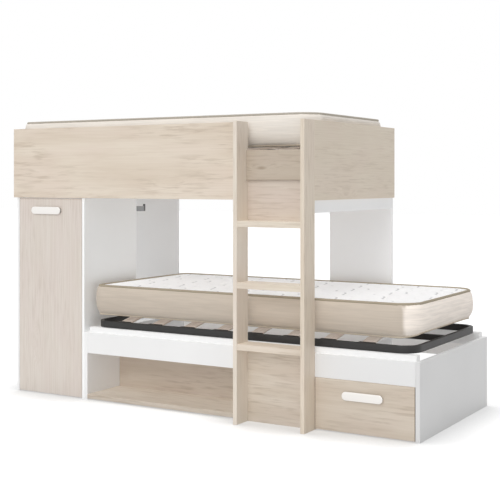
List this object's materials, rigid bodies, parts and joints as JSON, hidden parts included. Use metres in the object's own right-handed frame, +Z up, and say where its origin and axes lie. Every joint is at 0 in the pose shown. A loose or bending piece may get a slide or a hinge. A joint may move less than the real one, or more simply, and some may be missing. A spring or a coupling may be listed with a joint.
{
  "type": "offset bunk bed",
  "caption": "Offset bunk bed: an upper bunk over a wardrobe and back legs, a lower bunk moved to the right, a fixed ladder, an open niche and a drawer.",
  "frame": {"origin": "middle of the footprint of the whole object, on the floor", "axes": "+X along the beds from the wardrobe to the drawer, +Y from the ladder's side to the back, +Z up"},
  "size_m": [2.4716, 1.0878, 1.5554],
  "materials": {
    "oak": "pale oak melamine, satin",
    "white_board": "white melamine, satin",
    "birch": "birch plywood slats, clear lacquer",
    "frame_steel": "dark grey powder coat, fine texture",
    "fitting_steel": "nickel-plated sheet steel",
    "hook_metal": "grey metal, satin",
    "handle_white": "white, smooth matte",
    "ticking": "quilted white top, beige border with taupe piping"
  },
  "bodies": {
    "bed": {"upper_front_rail": "oak", "upper_left_end": "oak", "upper_right_end": "oak", "upper_back_panel": "oak", "entry_board": "oak", "entry_panel": "oak", "niche_floor": "oak", "niche_back": "oak", "ladder_base_panel": "oak", "ladder_left_upright": "oak", "ladder_right_upright": "oak", "ladder_step_1": "oak", "ladder_step_2": "oak", "ladder_step_3": "oak", "upper_stretcher": "white_board", "upper_front_cleat": "white_board", "upper_back_cleat": "white_board", "back_left_leg": "white_board", "back_right_leg": "white_board", "lower_left_end": "white_board", "lower_right_end": "white_board", "lower_front_rail_left": "white_board", "lower_front_rail_right": "white_board", "lower_back_rail": "white_board", "lower_back_cleat": "white_board", "lower_front_cleat": "white_board", "niche_partition": "white_board", "drawer_partition": "white_board", "wardrobe_left_side": "white_board", "wardrobe_right_side": "white_board", "wardrobe_top": "white_board", "wardrobe_bottom": "white_board", "wardrobe_back": "white_board", "wardrobe_shelf": "white_board", "lower_slat_1": "birch", "lower_slat_2": "birch", "lower_slat_3": "birch", "lower_slat_4": "birch", "lower_slat_5": "birch", "lower_slat_6": "birch", "lower_slat_7": "birch", "lower_slat_8": "birch", "upper_slat_base": "birch", "lower_slat_frame": "frame_steel", "runner_left": "fitting_steel", "runner_right": "fitting_steel", "hinge_arm_lower": "fitting_steel", "hinge_arm_upper": "fitting_steel", "wardrobe_hook": "hook_metal", "upper_mattress": "ticking", "lower_mattress": "ticking"},
    "door": {"wardrobe_door": "oak", "door_handle": "handle_white", "hinge_cup_lower": "fitting_steel", "hinge_cup_upper": "fitting_steel"},
    "drawer": {"drawer_front": "oak", "drawer_wrap": "white_board", "drawer_bottom": "white_board", "drawer_handle": "handle_white"}
  },
  "joints": [
    {"name": "door_hinge", "type": "hinge", "parent": "bed", "child": "door", "pos_m": [-1.206, -0.435, 0], "axis": [0, 0, -1], "range_deg": [0, 100]},
    {"name": "drawer_slide", "type": "slide", "parent": "bed", "child": "drawer", "axis": [0, -1, 0], "range_m": [0, 0.35]}
  ]
}
